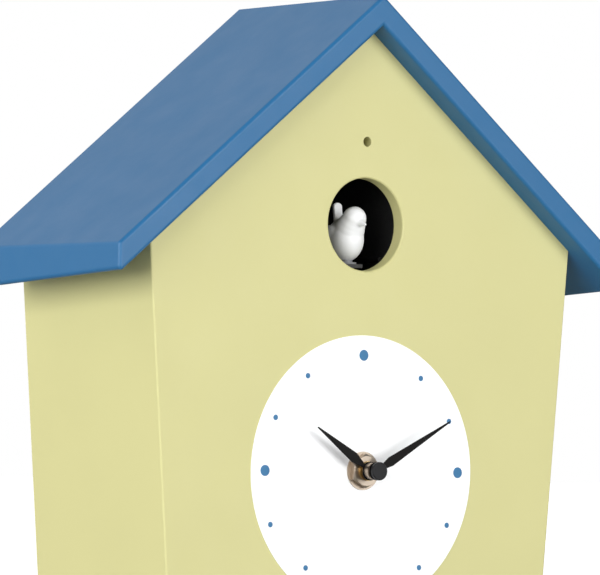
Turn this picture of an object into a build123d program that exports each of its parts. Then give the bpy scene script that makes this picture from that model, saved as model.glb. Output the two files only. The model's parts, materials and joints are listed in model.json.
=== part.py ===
"""Wall and mantel cuckoo clock: a gabled wooden case, a quartz movement and a bird module.

Millimetres. X points right as seen from the front, the front faces -Y, Z points up.
The origin is the middle of the underside of the base.
"""
from build123d import *
import os
from math import acos, cos, pi, radians, sin, sqrt, tan

CUT = 1.0                   # a cutter passes this far beyond the faces that it opens
JOIN = 0.1                  # overlap of solids that make one piece

# ---------------------------------------------------------------- case
HEIGHT = 300.0              # base to ridge
ROOF_SPAN = 250.0           # eave to eave
ROOF_PITCH = 39.4           # degrees
ROOF_OVERHANG = 10.0        # in front of the front panel
ROOF_PLUMB_FRONT = 12.2     # vertical thickness of the boards at their front edge
ROOF_PLUMB_REAR = 17.8      # the boards thicken towards the wall
ROOF_ROUND = 1.5
BODY_DEPTH = 91.0
BASE_HALF = 88.0            # half width of the front at the base
WALL_SLOPE = 0.08           # the walls lean out by this much for each mm of height
BOARD = 6.0
BACK_BOARD = 3.0
CORNER_ROUND = 0.8
FRONT = -BODY_DEPTH / 2     # front face of the front panel
BACK = BODY_DEPTH / 2
INSIDE = FRONT + BOARD      # rear face of the front panel
HOLE_Z = 209.0              # bird hole
HOLE_R = 18.5
SENSOR_Z = 242.0            # light sensor hole
SENSOR_R = 2.0
WINDOW_HALF = 46.0          # service window in the back panel
WINDOW_LOW = 66.0
WINDOW_HIGH = 238.0
WINDOW_ROUND = 6.0
PLATE_HALF_X = 15.0         # keyhole plate
PLATE_HALF_Z = 8.0
HANGER_T = 1.2
PLATE_ROUND = 0.5
KEYHOLE_Z = 258.0           # middle of the plate
KEYHOLE_R = 4.0             # round end of the keyhole
KEYHOLE_DROP = 2.0          # its centre below the middle of the plate
KEYHOLE_SLOT_R = 2.1
KEYHOLE_RISE = 4.0          # end of the slot above the middle of the plate
POCKET_HALF_X = 5.5         # opening in the back panel behind the plate
POCKET_HALF_Z = 6.3
SHANK_R = 1.4               # all wood and case screws
HEAD_R = 3.0                # countersunk head
HEAD_DEPTH = 1.7
SCREW_LENGTH = 12.0
PILOT_LENGTH = 16.0
CROSS_LENGTH = 3.2          # driver recess of the countersunk screws
CROSS_WIDTH = 0.7
CROSS_DEPTH = 0.8
CLEAT_HEIGHTS = (22.0, 110.0, 182.0)
CLEAT_W = 12.0
CLEAT_HALF = 14.0

# ---------------------------------------------------------------- dial and hands
DIAL_Z = 110.4
DIAL_R = 54.4
DIAL_T = 0.3
DOT_T = 0.1
LARGE_DOT_R = 2.2
SMALL_DOT_R = 1.1
# across and up from the dial's centre; the print is not divided evenly
LARGE_DOTS = [(-0.2, 46.5), (47.9, 0.3), (0.0, -46.5), (-47.7, 0.2)]
SMALL_DOTS = [(28.5, 37.9), (43.1, 20.9), (42.8, -20.9), (29.1, -37.9),
              (-27.2, -38.0), (-44.7, -21.0), (-43.0, 21.1), (-27.6, 37.8)]
AXIS_Z = 110.95             # height of the hand shaft
BUSH_R = 3.9                # outside of the M8 fine thread
BUSH_GAP = 0.2              # radial clearance round the bush
BUSH_FRONT = 4.2            # in front of the panel, as are the next depths
THREAD_FIRST = 3.45
THREAD_PITCH = 0.27
THREAD_DEPTH = 0.12
THREAD_TURNS = 3
WASHER_R = 7.65
WASHER_GAP = 0.15
WASHER_FRONT = 0.9
NUT_FLATS = 12.0
NUT_FRONT = 3.3
NUT_BEVEL = 3.0
HAND_T = 0.4
HAND_TIP = 0.25             # half width of the blunt tips
HOUR_LENGTH = 31.2
HOUR_WIDE = 4.3
HOUR_WIDE_AT = 9.5
HOUR_NECK = 1.2
HOUR_RING = 3.75
HOUR_TURN = -56.8           # clockwise from 12
HOUR_PLANE = 5.3            # rear face of the hand in front of the panel
HOUR_COLLET_R = 3.3
HOUR_COLLET_FRONT = 8.3
HOUR_COLLET_REAR = 4.6
HOUR_PIPE_FRONT = 8.5
MINUTE_LENGTH = 41.8
MINUTE_WIDE = 3.9
MINUTE_WIDE_AT = 8.0
MINUTE_NECK = 2.0
MINUTE_RING = 3.6
MINUTE_TURN = 61.0
MINUTE_PLANE = 9.5
MINUTE_COLLET_R = 3.0
MINUTE_COLLET_REAR = 8.65
HAND_NUT_R = 2.8
HAND_NUT_T = 0.9
CAP_R = 3.65
CAP_FRONT = 12.2
CAP_ROUND = 0.45

# ---------------------------------------------------------------- quartz movement
ARBOR_R = 1.5
PIPE_R = 2.5
FIT = 0.06                  # radial running clearance
PIVOT_R = 0.5
PIVOT_FIT = 0.04
MOVE_HALF = 28.0
MOVE_ROUND = 3.0
MOVE_FRONT = INSIDE + 0.8
MOVE_DEPTH = 16.0
MOVE_REAR = MOVE_FRONT + MOVE_DEPTH
MOVE_SPLIT = MOVE_FRONT + 8.0
SHELL = 1.5
GASKET_R = 10.0
GASKET_GAP = 0.3
BAY_TOP = AXIS_Z - 10.5     # top of the battery bay
BAY_WALL = 1.0
PLATE_GAP = 1.6             # train plate to the rear wall
TRAIN_PLATE_T = 1.0
PLATE_Y = MOVE_REAR - SHELL - PLATE_GAP
ARBOR_END_R = 1.0
STUD_R = 0.7
KNOB_SHAFT_R = 1.2
KNOB_R = 5.5
KNOB_T = 3.5
KNOB_GAP = 0.5
KNURLS = 24
KNURL_R = 0.35
PRESSURE_ANGLE = 20.0
ADDENDUM = 0.8              # in modules
DEDENDUM = 1.15
TOOTH_SHARE = 0.44          # of the pitch, at the pitch circle
LAYER = 1.0                 # wheel thickness in the hand work
HOUR_LAYER = MOVE_FRONT + SHELL + 0.3
MINUTE_LAYER = HOUR_LAYER + 1.4
TRAIN_T = 0.8               # wheel thickness in the going train
TRAIN_STEP = 1.4
TRAIN_LAYERS = [MINUTE_LAYER + 1.6 + TRAIN_STEP * i for i in range(4)]
CANNON_TEETH, MINUTE_WHEEL_TEETH = 12, 36
HOUR_PINION_TEETH, HOUR_WHEEL_TEETH = 10, 40
HANDWORK_MODULE = 0.4
HANDWORK_CD = HANDWORK_MODULE * (CANNON_TEETH + MINUTE_WHEEL_TEETH) / 2
HOUR_MODULE = 2 * HANDWORK_CD / (HOUR_PINION_TEETH + HOUR_WHEEL_TEETH)
MINUTE_ANGLE = 60.0         # directions between arbors, from +X towards +Z
SETTING_ANGLE = 20.0
# wheel teeth, pinion teeth, module and direction of each mesh of the going train
CENTRE_MESH = (60, 8, 0.30, 140.0)
THIRD_MESH = (64, 8, 0.25, 100.0)
FOURTH_MESH = (48, 8, 0.25, 20.0)
STEP_MESH = (40, 8, 0.22, 0.0)
CENTRE_HUB_R = 3.0
CENTRE_HUB_T = 1.1
FRICTION_FIT = 0.03
PIVOT_DEPTH = 0.8
MAGNET_R = 2.4
MAGNET_FROM, MAGNET_TO = 1.1, 2.5   # behind the rotor pinion's front face
STATOR_Y = TRAIN_LAYERS[3] + 1.2
STATOR_T = 1.0
STATOR_BORE_R = 2.9
STATOR_LEFT, STATOR_LOW, STATOR_HIGH = 4.3, 3.6, 3.4   # plate beyond the rotor's axis
LIMB_GAP = 1.5              # from the rotor's axis to the window of the stator
LIMB = 4.0                  # width of the upright limbs
CORE_HALF = 1.2
COIL_Z = AXIS_Z + 23.0
COIL_LOW_X, COIL_HIGH_X = 9.0, 22.0
COIL_R = 1.9
BOBBIN_T = 0.8
BOBBIN_HALF_Y, BOBBIN_HALF_Z = 2.1, 2.6
CHIP_BOARD_X = (-26.0, -16.5)
CHIP_BOARD_Z = (AXIS_Z - 8, AXIS_Z + 25)
CHIP_BOARD_T = 1.0
CHIP_R = 2.2
CAN_R = 1.1
CAN_LENGTH = 6.5
AA_R = 7.05
AA_LENGTH = 50.0
AA_ROUND = 0.5
BUTTON_R = 2.7
BUTTON_T = 1.2
AA_Y = MOVE_REAR - 7.3
AA_Z = AXIS_Z - MOVE_HALF + SHELL + 7.9
CONTACT_HALF = 5.0
CONTACT_T = 0.3
CONTACT_GAP = 0.05
SPRING_LENGTH = 1.1
SPRING_TURNS = 3
SPRING_R = 3.2
SPRING_TAPER = 0.5
SPRING_CORE_R = 0.5

# ---------------------------------------------------------------- bird module
POD_HALF = 40.0
POD_LOW = 146.0
POD_HIGH = 234.0
POD_WALL = 2.0
POD_ROUND = 4.0
POD_FRONT = INSIDE
POD_REAR = POD_FRONT + 55.0
CHAMBER_HALF = 21.0
SHELF_Z = 189.0             # top of the floor under the bird
SHELF_T = 2.0
SLOT_LEFT, SLOT_RIGHT = -4.0, 6.6   # opening in the floor for the gears
LUG_HALF_X, LUG_HALF_Z, LUG_T = 4.1, 5.0, 3.0
LUG_SPOTS = [(side * (POD_HALF + 3.9), z) for side in (-1, 1) for z in (POD_LOW + 8, POD_HIGH - 8)]
COVER_SPOTS = [(side * (POD_HALF - 5), z) for side in (-1, 1) for z in (POD_LOW + 5, POD_HIGH - 5)]
CLEARANCE_R = 1.5           # screw holes in lugs and cover
BOSS_R = 3.1
BOSS_LENGTH = 8.0
PAN_HEAD_R = 2.8
PAN_HEAD_T = 1.8
PAN_LENGTH = 6.0
PAN_CROSS = 3.0
PAN_CROSS_W = 0.6
ROD_R = 1.2
ROD_X = 12.0
ROD_Z = 195.5
ROD_FIT = 0.08
BIRD_TRAVEL = 22.0
CARRIAGE_FRONT = FRONT + 30.0
CARRIAGE_REAR = FRONT + 57.0
CARRIAGE_HALF = 15.0
BEARING_HALF = 3.0
BEARING_TOP = ROD_Z + 2.6
TONGUE_FRONT = FRONT + 8.0
TONGUE_HALF = 4.5
SLED_LOW, SLED_HIGH = 191.9, 193.4
RACK_MODULE = 0.8
RACK_PINION_TEETH = 12
RACK_HALF = 2.5
RACK_GAP = 0.8
RACK_PITCH_R = RACK_MODULE * RACK_PINION_TEETH / 2
RACK_PITCH_Z = SHELF_Z - 3.0
DRIVE_MODULE = 0.5
DRIVE_TEETH = 24
MOTOR_TEETH = 10
DRIVE_Y = FRONT + 34.0
DRIVE_Z = RACK_PITCH_Z - RACK_PITCH_R
DRIVE_CD = DRIVE_MODULE * (DRIVE_TEETH + MOTOR_TEETH) / 2
MOTOR_Z = DRIVE_Z - DRIVE_CD
RACK_PINION_HALF = 3.0
GEAR_X = (2.9, 6.0)         # drive gear and motor pinion along X
HUB_R = 2.6
HUB_HALF = 7.5
AXLE_R = 1.0
BRACKET_X = 8.0             # inner faces
BRACKET_T = 1.5
BRACKET_HALF = 9.0
MOTOR_X = BRACKET_X + BRACKET_T
MOTOR_LENGTH = 25.0
MOTOR_R = 7.75
MOTOR_HALF = 6.0            # half distance between its flats
MOTOR_BOSS_R = 2.1
MOTOR_CAP_R = 2.5
MOTOR_CAP_T = 1.5
MOTOR_SHAFT_R = 0.75
MOTOR_SHAFT_X = 2.8

# bird, depths behind the front of the case
BIRD_FLOOR = 195.1          # flat underside of the bird
HEAD_DEEP, HEAD_Z, HEAD_BALL = 7.8, 211.6, 4.8
CHEST_DEEP, CHEST_Z, CHEST_BALL = 13.0, 204.7, 7.1
BODY_DEEP, BODY_Z = 14.0, 203.3
BODY_BALL = 10.0
BODY_SCALE = (0.72, 0.85, 0.9)
WING_X, WING_DEEP, WING_Z = 5.6, 18.5, 204.8
WING_BALL = 7.0
WING_SCALE = (0.34, 1.0, 0.6)
WING_TILT = -14.0
BEAK_DEEP, BEAK_Z, BEAK_BASE_R, BEAK_TIP_R = 4.2, 210.0, 1.6, 0.35
BEAK_LENGTH = 4.2
BEAK_DROOP = 14.0
TAIL_DEEP, TAIL_Z = 18.7, 211.4
TAIL_WIDE, TAIL_T, TAIL_LENGTH = 4.2, 1.6, 14.0
TAIL_LEAN = -8.0
TAIL_ROUND = 1.6
PERCH_DEEP, PERCH_R = 13.0, 2.6
PERCH_FOOT_R, PERCH_FOOT_T = 4.2, 0.8

# sound board, speaker, cover, door, switch, sensor
SOUND_BOARD_X = (-36.0, -34.4)
SOUND_BOARD_Y = (POD_FRONT + 5, POD_REAR - 10)
SOUND_BOARD_Z = (POD_LOW + 6, SHELF_Z - 6)
SOUND_CHIP = (1.5, POD_FRONT + 12, POD_FRONT + 24, POD_LOW + 14, POD_LOW + 26)
SOCKET = (5.0, POD_FRONT + 28, POD_FRONT + 42, POD_LOW + 24, POD_LOW + 29)
CAPACITOR_YS = (POD_FRONT + 30, POD_FRONT + 38)
CAPACITOR_Z = POD_LOW + 16
CAPACITOR_R, CAPACITOR_LENGTH = 3.0, 8.0
SPEAKER_X, SPEAKER_Z, SPEAKER_R = -18.0, 167.0, 14.0
BASKET_R, MAGNET_POT_R, VOICE_R = 10.0, 7.0, 5.0
BASKET_FRONT, BASKET_MIDDLE, BASKET_REAR = 3.0, 6.0, 11.0   # depths inside the rim
SPEAKER_RIM = 1.2
CONE_T = 0.4
CONE_MARGIN = 1.7
SLOT_STEP = 3.4
SLOT_HALF = 0.8
SLOTS_EACH_WAY = 3
COVER_T = 2.0
CELL_BOX_HALF = 29.0
CELL_BOX_LOW = 194.5
CELL_BOX_HIGH = 229.5
CELL_BOX_DEPTH = 17.5
CELL_BOX_END = 2.0
CELL_BOX_SIDE = 1.5
CELL_Y = POD_REAR + COVER_T + 7.4
CELL_ZS = (CELL_BOX_LOW + 9.0, CELL_BOX_HIGH - 9.0)
DOOR_Y = POD_REAR + COVER_T + CELL_BOX_DEPTH + 0.3
DOOR_T = 1.8
DOOR_ROUND = 1.5
HINGE_Y = DOOR_Y - 0.4
HINGE_Z = CELL_BOX_LOW - 3.0
KNUCKLE_R = 2.0
PIN_R = 0.8
COVER_KNUCKLE_X = (21.2, 24.2)
DOOR_KNUCKLE_X = (15.0, 20.9)
PIN_END_X = 24.0
RIB_HALF_X = 8.0
RIB_STEP = 1.6
RIB_HALF = 0.4
SWITCH_X, SWITCH_Z = 18.0, 158.0
SWITCH_TRAVEL = 4.0
SWITCH_SLOT_HALF_X, SWITCH_SLOT_HALF_Z = 5.0, 1.6
KNOB_HALF_X, KNOB_HALF_Z = 2.6, 1.3
SLIDE_HALF_X, SLIDE_HALF_Z = 4.5, 3.2
SLEEVE_R, SLEEVE_BORE_R = 4.5, 2.6
SLEEVE_DEPTH = 6.0
SLEEVE_END = 2.0


# ---------------------------------------------------------------- helpers
def block(x0, x1, y0, y1, z0, z1):
    """Box from its two corners."""
    middle = ((x0 + x1) / 2, (y0 + y1) / 2, (z0 + z1) / 2)
    return Pos(*middle) * Box(abs(x1 - x0), y1 - y0, z1 - z0)


def rod_y(x, z, radius, y0, y1):
    """Cylinder along Y."""
    return Pos(x, (y0 + y1) / 2, z) * Rot(90, 0, 0) * Cylinder(radius, y1 - y0)


def rod_x(y, z, radius, x0, x1):
    """Cylinder along X."""
    return Pos((x0 + x1) / 2, y, z) * Rot(0, 90, 0) * Cylinder(radius, abs(x1 - x0))


def ring_y(x, z, outer, inner, y0, y1):
    """Tube along Y."""
    return rod_y(x, z, outer, y0, y1) - rod_y(x, z, inner, y0 - CUT, y1 + CUT)


def cone_y(x, z, r0, r1, y0, y1):
    """Cone along Y, radius r0 at y0 and r1 at y1."""
    return Pos(x, (y0 + y1) / 2, z) * Rot(-90, 0, 0) * Cone(r0, r1, y1 - y0)


def face_xz(points, y):
    """Flat polygon in the plane at y, from (x, z) points."""
    return make_face(Polyline([(x, y, z) for x, z in points], close=True))


def plate_y(points, y0, y1):
    """Polygon of (x, z) points made thick from y0 to y1."""
    return extrude(face_xz(points, y0), amount=y1 - y0, dir=(0, 1, 0))


def wedge_y(front_points, rear_points, y0, y1):
    """Straight-sided solid between two polygons of (x, z) points."""
    return loft([face_xz(front_points, y0), face_xz(rear_points, y1)], ruled=True)


def group(pieces):
    """Separate solids that share one node."""
    return Compound(children=list(pieces))


def wall_half(z):
    """Half width of the case outside at height z."""
    return BASE_HALF + WALL_SLOPE * z


def wall_inside(z):
    """Half width of the case inside at height z."""
    return wall_half(z) - BOARD


SCREW_SPOTS = [(side * (wall_inside(z) - CLEAT_W / 2), z) for side in (-1, 1) for z in CLEAT_HEIGHTS]


def roof_plumb(y):
    """Vertical thickness of the roof boards at depth y."""
    share = (y - FRONT + ROOF_OVERHANG) / (BODY_DEPTH + ROOF_OVERHANG)
    return ROOF_PLUMB_FRONT + share * (ROOF_PLUMB_REAR - ROOF_PLUMB_FRONT)


def away(centre, distance, angle):
    """Point at a distance and an angle, in degrees, from another (x, z) point."""
    return centre[0] + distance * cos(radians(angle)), centre[1] + distance * sin(radians(angle))


def involute(angle):
    return tan(angle) - angle


def gear(teeth, module, thickness, tooth_at=0.0):
    """Spur gear about Z from z = 0, with a tooth centred at the angle tooth_at, in degrees."""
    pitch_r = teeth * module / 2
    base_r = pitch_r * cos(radians(PRESSURE_ANGLE))
    tip_r = pitch_r + ADDENDUM * module
    root_r = pitch_r - DEDENDUM * module
    half = TOOTH_SHARE * pi / teeth + involute(radians(PRESSURE_ANGLE))
    start_r = max(base_r, root_r)
    steps = 4
    flank = [(root_r, half)] if root_r < base_r else []
    for i in range(steps + 1):
        r = start_r + (tip_r - start_r) * i / steps
        flank.append((r, half - involute(acos(min(1.0, base_r / r)))))
    points = []
    for tooth in range(teeth):
        middle = radians(tooth_at) + 2 * pi * tooth / teeth
        points += [(r * cos(middle - a), r * sin(middle - a)) for r, a in flank]
        points += [(r * cos(middle + a), r * sin(middle + a)) for r, a in reversed(flank)]
    return extrude(make_face(Polyline(points, close=True)), amount=thickness)


def gear_y(x, z, teeth, module, y0, y1, tooth_at=0.0):
    """Gear about Y, the angle tooth_at measured from +X towards +Z."""
    return Pos(x, y1, z) * Rot(90, 0, 0) * gear(teeth, module, y1 - y0, tooth_at)


def gear_x(y, z, teeth, module, x0, x1, tooth_at=0.0):
    """Gear about X, the angle tooth_at measured from +Y towards +Z."""
    frame = Plane(origin=(x0, y, z), x_dir=(0, 1, 0), z_dir=(1, 0, 0))
    return frame * gear(teeth, module, x1 - x0, tooth_at)


# ---------------------------------------------------------------- case
def under_roof():
    """All the space below the roof boards."""
    def outline(y):
        top = HEIGHT - roof_plumb(y)
        eave = top - ROOF_SPAN / 2 * tan(radians(ROOF_PITCH))
        half = ROOF_SPAN / 2
        return [(-half, -CUT), (half, -CUT), (half, eave), (0, top), (-half, eave)]
    return wedge_y(outline(FRONT), outline(BACK), FRONT, BACK)


def roof_board(side):
    """One roof board: plumb cut at the eave, mitred at the ridge."""
    def outline(y):
        eave = HEIGHT - ROOF_SPAN / 2 * tan(radians(ROOF_PITCH))
        edge = side * ROOF_SPAN / 2
        thick = roof_plumb(y)
        return [(0, HEIGHT), (edge, eave), (edge, eave - thick), (0, HEIGHT - thick)]
    front = FRONT - ROOF_OVERHANG
    board = wedge_y(outline(front), outline(BACK), front, BACK)
    outer = [e for e in board.edges() if abs(e.center().X) > ROOF_ROUND / 2]
    return fillet(outer, ROOF_ROUND)


def on_front(edge):
    """Whether an edge lies in the front face of the front panel."""
    return abs(edge.center().Y - FRONT) < 0.01


def front_panel():
    low, high = wall_half(0), wall_half(HEIGHT)
    outline = [(-low, 0), (low, 0), (high, HEIGHT), (-high, HEIGHT)]
    panel = plate_y(outline, FRONT, INSIDE) & under_roof()
    upright = [e for e in panel.edges() if on_front(e) and abs(e.center().X) > BASE_HALF
               and e.bounding_box().size.Z > BASE_HALF]
    panel = fillet(upright, CORNER_ROUND)
    panel -= rod_y(0, HOLE_Z, HOLE_R, FRONT - CUT, INSIDE + CUT)
    rim = [e for e in panel.edges().filter_by(GeomType.CIRCLE) if on_front(e)]
    panel = fillet(rim, CORNER_ROUND)
    panel -= rod_y(0, SENSOR_Z, SENSOR_R, FRONT - CUT, INSIDE + CUT)
    for x, z in LUG_SPOTS:
        panel -= rod_y(x, z, SHANK_R, INSIDE - PAN_LENGTH + LUG_T - JOIN, INSIDE + CUT)
    return panel - rod_y(0, AXIS_Z, BUSH_R + BUSH_GAP, FRONT - CUT, INSIDE + CUT)


def side_wall(side):
    outline = [(side * wall_half(0), 0), (side * wall_inside(0), 0),
               (side * wall_inside(HEIGHT), HEIGHT), (side * wall_half(HEIGHT), HEIGHT)]
    return plate_y(outline, INSIDE, BACK) & under_roof()


def inner_trapezium(z0, z1):
    a, b = wall_inside(z0), wall_inside(z1)
    return [(-a, z0), (a, z0), (b, z1), (-b, z1)]


def base_board():
    return plate_y(inner_trapezium(0, BOARD), INSIDE, BACK)


def back_panel():
    panel = plate_y(inner_trapezium(BOARD, HEIGHT), BACK - BACK_BOARD, BACK) & under_roof()
    inner, outer = BACK - BACK_BOARD - CUT, BACK + CUT
    window = block(-WINDOW_HALF, WINDOW_HALF, inner, outer, WINDOW_LOW, WINDOW_HIGH)
    panel -= fillet(window.edges().filter_by(Axis.Y), WINDOW_ROUND)
    panel -= block(-PLATE_HALF_X, PLATE_HALF_X, BACK - HANGER_T, outer,
                   KEYHOLE_Z - PLATE_HALF_Z, KEYHOLE_Z + PLATE_HALF_Z)
    panel -= block(-POCKET_HALF_X, POCKET_HALF_X, inner, outer,
                   KEYHOLE_Z - POCKET_HALF_Z, KEYHOLE_Z + POCKET_HALF_Z)
    for x, z in SCREW_SPOTS:
        panel -= rod_y(x, z, SHANK_R, inner, outer)
        panel -= cone_y(x, z, SHANK_R, HEAD_R, BACK - HEAD_DEPTH, BACK)
    return panel


def back_cleats():
    """Glued blocks that the back panel is screwed to."""
    pieces = []
    rear = BACK - BACK_BOARD
    for side in (-1, 1):
        for middle in CLEAT_HEIGHTS:
            z0, z1 = middle - CLEAT_HALF, middle + CLEAT_HALF
            a, b = side * wall_inside(z0), side * wall_inside(z1)
            thick = side * CLEAT_W
            outline = [(a, z0), (a - thick, z0), (b - thick, z1), (b, z1)]
            cleat = plate_y(outline, rear - CLEAT_W, rear)
            for x, z in SCREW_SPOTS:
                cleat -= rod_y(x, z, SHANK_R, BACK - PILOT_LENGTH, BACK)
            pieces.append(cleat)
    return group(pieces)


def back_screws():
    pieces = []
    for x, z in SCREW_SPOTS:
        screw = cone_y(x, z, SHANK_R, HEAD_R, BACK - HEAD_DEPTH, BACK)
        screw += rod_y(x, z, SHANK_R, BACK - SCREW_LENGTH, BACK - HEAD_DEPTH + JOIN / 10)
        for turn in (0, 90):
            screw -= Pos(x, BACK, z) * Rot(0, turn, 0) * Box(CROSS_LENGTH, 2 * CROSS_DEPTH, CROSS_WIDTH)
        pieces.append(screw)
    return group(pieces)


def hanger_plate():
    """Steel keyhole plate let into the back panel."""
    y0, y1 = BACK - HANGER_T, BACK
    plate = block(-PLATE_HALF_X, PLATE_HALF_X, y0, y1, KEYHOLE_Z - PLATE_HALF_Z, KEYHOLE_Z + PLATE_HALF_Z)
    plate = fillet(plate.edges().filter_by(Axis.Y), PLATE_ROUND)
    low, high = KEYHOLE_Z - KEYHOLE_DROP, KEYHOLE_Z + KEYHOLE_RISE
    plate -= rod_y(0, low, KEYHOLE_R, y0 - CUT, y1 + CUT)
    plate -= block(-KEYHOLE_SLOT_R, KEYHOLE_SLOT_R, y0 - CUT, y1 + CUT, low, high)
    return plate - rod_y(0, high, KEYHOLE_SLOT_R, y0 - CUT, y1 + CUT)


# ---------------------------------------------------------------- dial and hands
def ahead(distance):
    """Y of a point this far in front of the front panel."""
    return FRONT - distance


def dial_disc():
    disc = rod_y(0, DIAL_Z, DIAL_R, ahead(DIAL_T), FRONT)
    return disc - rod_y(0, AXIS_Z, BUSH_R + BUSH_GAP, ahead(DIAL_T + CUT), FRONT + CUT)


def hour_dots():
    y1 = ahead(DIAL_T)
    large = [rod_y(x, DIAL_Z + up, LARGE_DOT_R, y1 - DOT_T, y1) for x, up in LARGE_DOTS]
    small = [rod_y(x, DIAL_Z + up, SMALL_DOT_R, y1 - DOT_T, y1) for x, up in SMALL_DOTS]
    return group(large + small)


def dial_washer():
    return ring_y(0, AXIS_Z, WASHER_R, BUSH_R + WASHER_GAP, ahead(WASHER_FRONT), ahead(DIAL_T))


def hex_nut():
    y0, y1 = ahead(NUT_FRONT), ahead(WASHER_FRONT)
    corner_r = NUT_FLATS / 2 / cos(radians(30))
    nut = plate_y([away((0, AXIS_Z), corner_r, 30 + 60 * i) for i in range(6)], y0, y1)
    nut = nut & cone_y(0, AXIS_Z, NUT_FLATS / 2 - JOIN, corner_r + NUT_BEVEL, y0, y1 + CUT)
    return nut - rod_y(0, AXIS_Z, BUSH_R, y0 - CUT, y1 + CUT)


def threaded_bush():
    """Tube of the centre fixing, with thread grooves where it stands out of the nut."""
    tube = ring_y(0, AXIS_Z, BUSH_R, PIPE_R + FIT, ahead(BUSH_FRONT), MOVE_FRONT)
    for i in range(THREAD_TURNS):
        y = ahead(THREAD_FIRST + THREAD_PITCH * i)
        tube -= ring_y(0, AXIS_Z, BUSH_R + CUT, BUSH_R - THREAD_DEPTH, y - THREAD_DEPTH, y)
    return tube


def hand(length, wide, wide_at, neck, ring, turn, plane, bore):
    """Flat dauphine hand turned clockwise from 12."""
    half = wide / 2
    neck_at = sqrt(ring ** 2 - (neck / 2) ** 2) - JOIN
    outline = [(-neck / 2, neck_at), (-half, wide_at), (-HAND_TIP, length - HAND_TIP), (0, length),
               (HAND_TIP, length - HAND_TIP), (half, wide_at), (neck / 2, neck_at)]
    blade = plate_y(outline, -HAND_T, 0) + rod_y(0, 0, ring, -HAND_T, 0)
    blade -= rod_y(0, 0, bore, -HAND_T - CUT, CUT)
    return Pos(0, ahead(plane), AXIS_Z) * Rot(0, turn, 0) * blade


def hour_hand():
    return hand(HOUR_LENGTH, HOUR_WIDE, HOUR_WIDE_AT, HOUR_NECK, HOUR_RING,
                HOUR_TURN, HOUR_PLANE, HOUR_COLLET_R)


def hour_collet():
    return ring_y(0, AXIS_Z, HOUR_COLLET_R, PIPE_R, ahead(HOUR_COLLET_FRONT), ahead(HOUR_COLLET_REAR))


def minute_hand():
    return hand(MINUTE_LENGTH, MINUTE_WIDE, MINUTE_WIDE_AT, MINUTE_NECK, MINUTE_RING,
                MINUTE_TURN, MINUTE_PLANE, ARBOR_R)


def minute_collet():
    return ring_y(0, AXIS_Z, MINUTE_COLLET_R, ARBOR_R, ahead(MINUTE_PLANE), ahead(MINUTE_COLLET_REAR))


def hand_nut():
    y1 = ahead(MINUTE_PLANE + HAND_T)
    return ring_y(0, AXIS_Z, HAND_NUT_R, ARBOR_R, y1 - HAND_NUT_T, y1)


def hand_cap():
    cap = rod_y(0, AXIS_Z, CAP_R, ahead(CAP_FRONT), ahead(MINUTE_PLANE + HAND_T + HAND_NUT_T))
    return fillet(cap.edges().sort_by(Axis.Y)[0], CAP_ROUND)


# ---------------------------------------------------------------- quartz movement
def mesh_spot(start, mesh):
    """Axis of the pinion that a wheel at start drives."""
    wheel, pinion, module, angle = mesh
    return away(start, module * (wheel + pinion) / 2, angle)


CENTRE = (0.0, AXIS_Z)
MINUTE_SPOT = away(CENTRE, HANDWORK_CD, MINUTE_ANGLE)
SETTING_SPOT = away(MINUTE_SPOT, HANDWORK_CD, SETTING_ANGLE)
THIRD_SPOT = mesh_spot(CENTRE, CENTRE_MESH)
FOURTH_SPOT = mesh_spot(THIRD_SPOT, THIRD_MESH)
STEP_SPOT = mesh_spot(FOURTH_SPOT, FOURTH_MESH)
ROTOR_SPOT = mesh_spot(STEP_SPOT, STEP_MESH)
PIVOT_SPOTS = (THIRD_SPOT, FOURTH_SPOT, STEP_SPOT, ROTOR_SPOT)


def movement_gasket():
    return ring_y(0, AXIS_Z, GASKET_R, BUSH_R + GASKET_GAP, INSIDE, MOVE_FRONT)


def shell_box(y0, y1, floor_y0, floor_y1):
    """Open box of the movement: four walls, the wall above the cell and one large face."""
    half, inner = MOVE_HALF, MOVE_HALF - SHELL
    low, high = AXIS_Z - half, AXIS_Z + half
    box = block(-half, half, y0, y1, low, high)
    box = fillet(box.edges().filter_by(Axis.Y), MOVE_ROUND)
    hollow = block(-inner, inner, y0 - CUT, y1 + CUT, low + SHELL, high - SHELL)
    hollow -= block(-half, half, y0 - 2 * CUT, y1 + 2 * CUT, BAY_TOP - BAY_WALL, BAY_TOP)
    return box - (hollow - block(-half, half, floor_y0, floor_y1, low, high))


def movement_front_case():
    inner = MOVE_FRONT + SHELL
    case = shell_box(MOVE_FRONT, MOVE_SPLIT, MOVE_FRONT, inner)
    case -= rod_y(0, AXIS_Z, PIPE_R + FIT, MOVE_FRONT - CUT, inner + CUT)
    case += rod_y(*MINUTE_SPOT, STUD_R, inner - JOIN, MINUTE_LAYER + LAYER + 2 * JOIN)
    for spot in PIVOT_SPOTS:
        case -= rod_y(*spot, PIVOT_R + PIVOT_FIT, inner - PIVOT_DEPTH, inner + CUT)
    return case


def movement_rear_case():
    inner, outer = MOVE_REAR - SHELL, MOVE_REAR + CUT
    case = shell_box(MOVE_SPLIT, MOVE_REAR, inner, MOVE_REAR)
    half = MOVE_HALF - SHELL
    case -= block(-half, half, inner - CUT, outer, AXIS_Z - half, BAY_TOP - BAY_WALL)
    return case - rod_y(*SETTING_SPOT, KNOB_SHAFT_R + FIT, inner - CUT, outer)


def train_plate():
    y0, y1 = PLATE_Y, PLATE_Y + TRAIN_PLATE_T
    half = MOVE_HALF - SHELL - 2 * JOIN
    plate = block(-half, half, y0, y1, BAY_TOP + GASKET_GAP, AXIS_Z + half)
    holes = [(CENTRE, ARBOR_END_R + PIVOT_FIT), (SETTING_SPOT, KNOB_SHAFT_R + FIT)]
    holes += [(spot, PIVOT_R + PIVOT_FIT) for spot in PIVOT_SPOTS]
    for spot, radius in holes:
        plate -= rod_y(*spot, radius, y0 - CUT, y1 + CUT)
    return plate


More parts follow.
